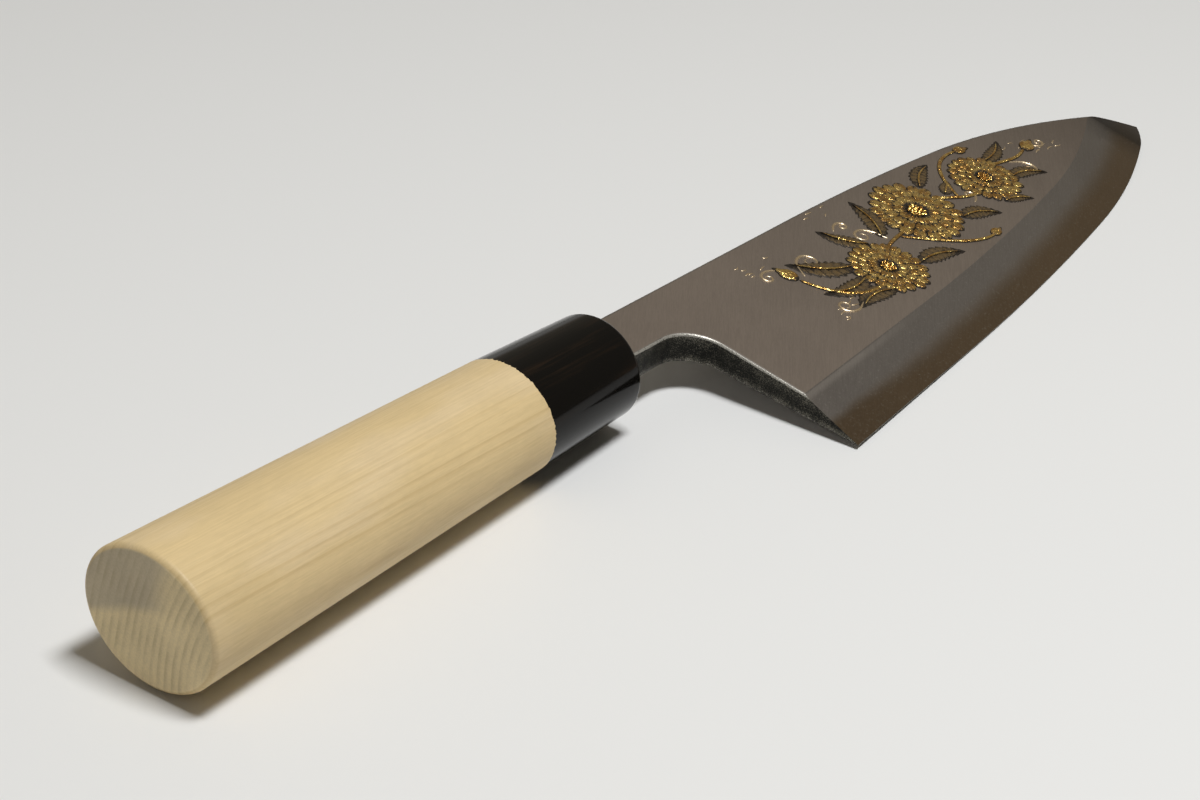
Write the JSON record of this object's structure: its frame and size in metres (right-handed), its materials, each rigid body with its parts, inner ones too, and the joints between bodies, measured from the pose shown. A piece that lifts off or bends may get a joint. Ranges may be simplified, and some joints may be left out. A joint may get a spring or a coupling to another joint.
{
  "type": "deba knife",
  "caption": "Heavy fish knife with a laminated blade ground on its right face, a hidden tang, an oval wooden handle and a dark horn ferrule.",
  "frame": {"origin": "under the middle of the knife's bounding box, at the level of its lowest side", "axes": "+X runs along the handle's axis to the point, +Y from the cutting edge to the spine, +Z out of the ground face; the flat back faces -Z"},
  "size_m": [0.3336, 0.0642, 0.0274],
  "materials": {
    "soft_iron": "dark satin steel with fine lines from spine to edge, dark forge scale on neck and heel",
    "hard_steel": "finely ground steel, brighter than the iron, shallow hollow on the back",
    "horn": "polished black horn with faint brown streaks",
    "white_wood": "bare, finely sanded pale wood with straight grain",
    "resin": "dull dark brown resin"
  },
  "bodies": {
    "root": {"blade_iron": "soft_iron", "edge_steel": "hard_steel", "ferrule": "horn", "handle": "white_wood", "tang_seal": "resin"}
  },
  "joints": []
}
